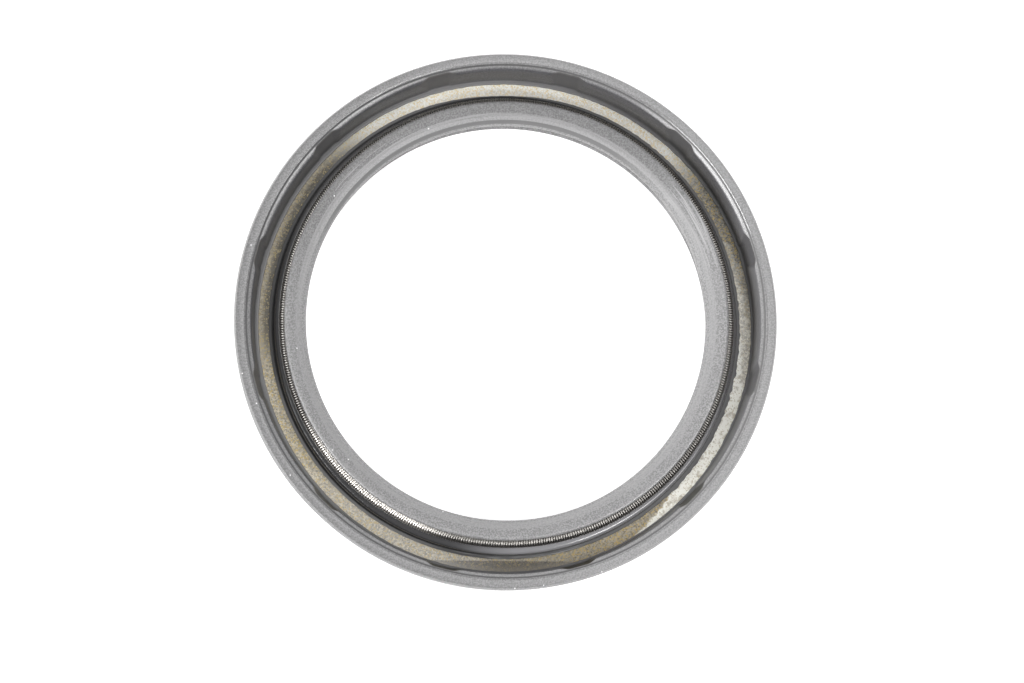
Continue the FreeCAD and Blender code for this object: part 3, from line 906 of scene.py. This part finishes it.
# %% Spring wire
def make_wire():
    """Metal with a faint cloud in it, and the bright stretch, which is a painted highlight."""
    tree = Tree("spring_wire")
    cloud = tree.ramp(tree.noise(3.0, 2.0), 0.3, 0.7)
    colour = tree.mix(cloud, (0.26, 0.25, 0.235, 1), (0.34, 0.325, 0.31, 1))
    # Painted highlight: the wire is painted almost white round 129 degrees, beside the joint.
    colour = tree.mix(tree.sector(129, 13, 14), colour, (0.93, 0.9, 0.86, 1))
    tree.put(tree.shader.inputs["Base Color"], colour)
    tree.shader.inputs["Metallic"].default_value = 1.0
    tree.shader.inputs["Roughness"].default_value = 0.34
    print(tree.material.name, "has", len(tree.nodes), "nodes")
    return tree.material


spring.data.materials.append(make_wire())

# %% [markdown]
# ## Floor, light and camera
#
# The seal lies on a white table. The floor is white where the camera or a reflection sees it, and a
# plain matte surface for everything else, so it keeps a faint shadow.

# %% Floor
FLOOR_HALF_SIZE = 3.0
BELOW_SEAL = 0.00002


def seen_ray(tree):
    """Output that is 1 for rays from the camera, a reflection or a clear material, and 0 for all others."""
    path = tree.node("ShaderNodeLightPath").outputs
    seen = tree.math("MAXIMUM", path["Is Camera Ray"], path["Is Glossy Ray"])
    return tree.math("MAXIMUM", seen, path["Is Transmission Ray"])


def make_floor():
    """Flat square a hair under the seal, white by its own glow."""
    mesh = bpy.data.meshes.new("floor")
    size = FLOOR_HALF_SIZE
    corners = [(-size, -size, 0), (size, -size, 0), (size, size, 0), (-size, size, 0)]
    mesh.from_pydata(corners, [], [(0, 1, 2, 3)])
    floor = bpy.data.objects.new("floor", mesh)
    floor.location.z = -BELOW_SEAL
    bpy.context.scene.collection.objects.link(floor)
    material = bpy.data.materials.new("white_table")
    material.use_nodes = True
    tree = Nodes(material.node_tree)
    shader = tree.nodes["Principled BSDF"]
    shader.inputs["Base Color"].default_value = (0.8, 0.8, 0.8, 1)
    shader.inputs["Roughness"].default_value = 0.9
    shader.inputs["Specular IOR Level"].default_value = 0.0
    shader.inputs["Emission Color"].default_value = (1, 1, 1, 1)
    tree.put(shader.inputs["Emission Strength"], tree.math("MULTIPLY", seen_ray(tree), 0.6))
    mesh.materials.append(material)
    return floor


print("floor is", 2 * make_floor().data.vertices[2].co.x, "m wide")

# %% [markdown]
# The room round the table is a plain bright world, dimmer overhead and brighter on the far left side, so
# that level faces look darker than the slopes round them. Two wide soft lamps stand left and right of the
# camera, a small bright one draws the thin lights along the edges, and a large weak one hangs above. A
# picture of a studio could light the seal as well, but four lamps can be moved one by one.

# %% World and lamps
scene = bpy.context.scene
scene.view_settings.view_transform = "Standard"
scene.world = bpy.data.worlds.new("studio")
scene.world.use_nodes = True
sky = Nodes(scene.world.node_tree)
towards_sky = sky.node("ShaderNodeTexCoord").outputs["Generated"]
rise = sky.node("ShaderNodeSeparateXYZ", Vector=towards_sky).outputs["Z"]
fade = sky.ramp(rise, 0.35, 0.65, 1.0, 0.15, "LINEAR")
brighter_side = np.radians(from_picture(230))
side_vector = (np.cos(brighter_side), np.sin(brighter_side), 0.0)
lean = sky.node("ShaderNodeVectorMath", "DOT_PRODUCT", towards_sky, side_vector).outputs["Value"]
background = sky.nodes["Background"].inputs
sky.put(background["Strength"], sky.math("MULTIPLY", fade, sky.math("MULTIPLY_ADD", lean, 0.9, 1.0)))
background["Color"].default_value = (1, 1, 1, 1)

LAMP_DISTANCE = 0.9


def soft_lamp(name, azimuth, elevation, width, height, radiance):
    """Lamp at LAMP_DISTANCE that faces the seal; its width and height are the angles it fills, in degrees.

    A flat lamp that shines evenly needs a power of pi x its area x its radiance.
    """
    light = bpy.data.lights.new(name, "AREA")
    light.shape = "RECTANGLE"
    light.size, light.size_y = np.radians([width, height]) * LAMP_DISTANCE
    light.energy = np.pi * light.size * light.size_y * radiance
    lamp = bpy.data.objects.new(name, light)
    a, e = np.radians([from_picture(azimuth), elevation])
    towards = Vector((np.cos(a) * np.cos(e), np.sin(a) * np.cos(e), np.sin(e)))
    lamp.location = towards * LAMP_DISTANCE
    lamp.rotation_euler = towards.to_track_quat("Z", "Y").to_euler()
    scene.collection.objects.link(lamp)
    print(name, round(light.energy, 1), "W")


soft_lamp("left_lamp", azimuth=152, elevation=33, width=32, height=22, radiance=12)
soft_lamp("right_lamp", azimuth=30, elevation=36, width=42, height=12, radiance=7)
soft_lamp("edge_lamp", azimuth=57, elevation=50, width=14, height=6, radiance=24)
soft_lamp("overhead_lamp", azimuth=335, elevation=74, width=48, height=48, radiance=2.0)

# %% [markdown]
# The camera stands almost over the seal, tilted nine degrees towards its lower left, with a short
# telephoto lens. Its aim is a point on the rim's plane.

# %% Camera
TILT = np.radians(9.11)
TOWARDS = np.radians(from_picture(108.56))
DISTANCE = 251.38
FOCAL_PIXELS = 1716.67
PICTURE_WIDTH = 1024
SENSOR = 36.0
AIM = np.array([0.56, -3.92, RIM])

turn = np.radians(PICTURE_TURN)
away = np.array([np.sin(TILT) * np.cos(TOWARDS), np.sin(TILT) * np.sin(TOWARDS), np.cos(TILT)])
right = np.cross(-away, [np.sin(turn), np.cos(turn), 0.0])
right /= np.linalg.norm(right)
up = np.cross(right, -away)
camera_data = bpy.data.cameras.new("camera")
camera_data.sensor_width = SENSOR
camera_data.lens = FOCAL_PIXELS * SENSOR / PICTURE_WIDTH
camera_data.clip_start = 0.01
camera = bpy.data.objects.new("camera", camera_data)
scene.collection.objects.link(camera)
scene.camera = camera
pose = np.eye(4)
pose[:3, 0], pose[:3, 1], pose[:3, 2] = right, up, away
pose[:3, 3] = (AIM + DISTANCE * away) * MM
camera.matrix_world = Matrix(pose.tolist())
print("lens", round(camera_data.lens, 2), "mm")

# %% [markdown]
# ## Finish
#

# %% Finish
bpy.context.view_layer.update()
